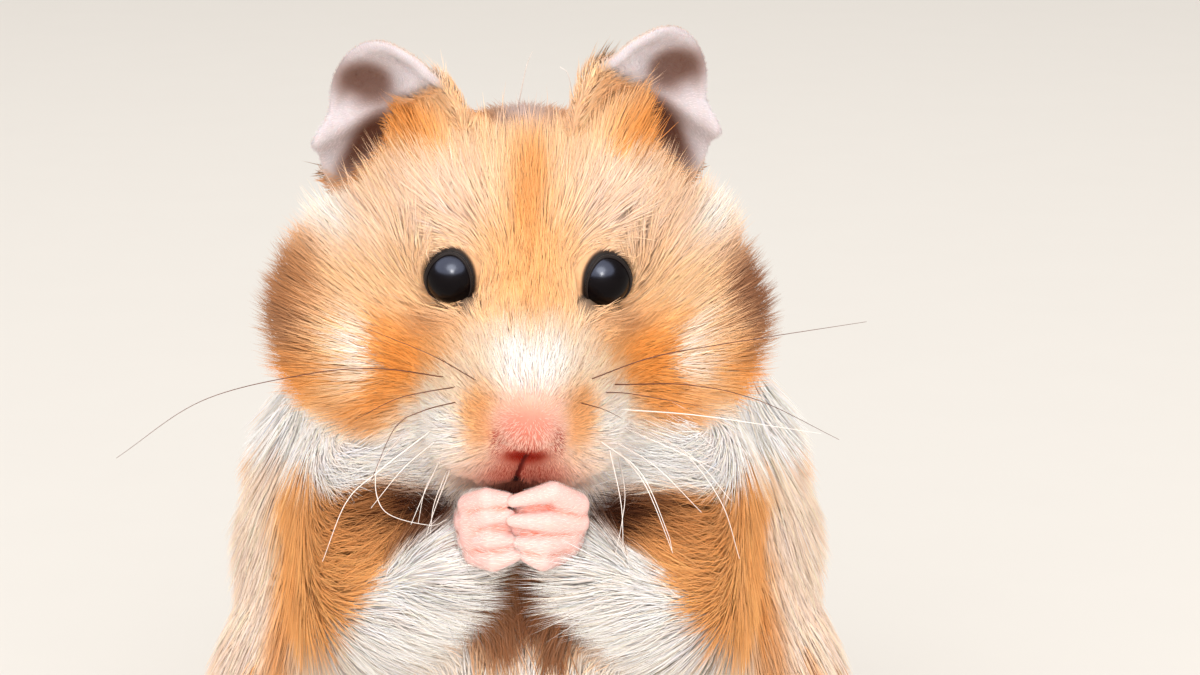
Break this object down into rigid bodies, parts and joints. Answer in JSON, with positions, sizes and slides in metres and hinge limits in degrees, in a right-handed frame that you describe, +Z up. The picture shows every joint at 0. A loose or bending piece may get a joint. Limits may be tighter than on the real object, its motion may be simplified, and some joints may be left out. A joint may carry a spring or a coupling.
{
  "type": "syrian hamster",
  "caption": "Life-size still Syrian hamster, sitting up on its haunches with both forepaws held to its mouth and its ears pricked.",
  "frame": {"origin": "middle of the footprint's bounding box, on the floor", "axes": "+X to the hamster's left, -Y the way it faces, +Z up"},
  "size_m": [0.0654, 0.0766, 0.0863],
  "materials": {
    "golden_coat": "short dense soft fur, golden with fine dark tips",
    "white_coat": "short dense soft fur, cream white with grey roots",
    "pink_skin": "bare pink skin with sparse fine white hairs",
    "ear_skin": "thin grey-pink skin with velvety down",
    "eye": "wet glossy black"
  },
  "bodies": {
    "root": {"head": "golden_coat", "neck": "golden_coat", "trunk": "golden_coat", "nose": "pink_skin", "tail": "pink_skin", "left_eye": "eye", "left_ear": "ear_skin", "left_foreleg": "white_coat", "left_forepaw": "pink_skin", "left_thigh": "golden_coat", "left_hind_foot": "pink_skin", "right_eye": "eye", "right_ear": "ear_skin", "right_foreleg": "white_coat", "right_forepaw": "pink_skin", "right_thigh": "golden_coat", "right_hind_foot": "pink_skin"}
  },
  "joints": []
}
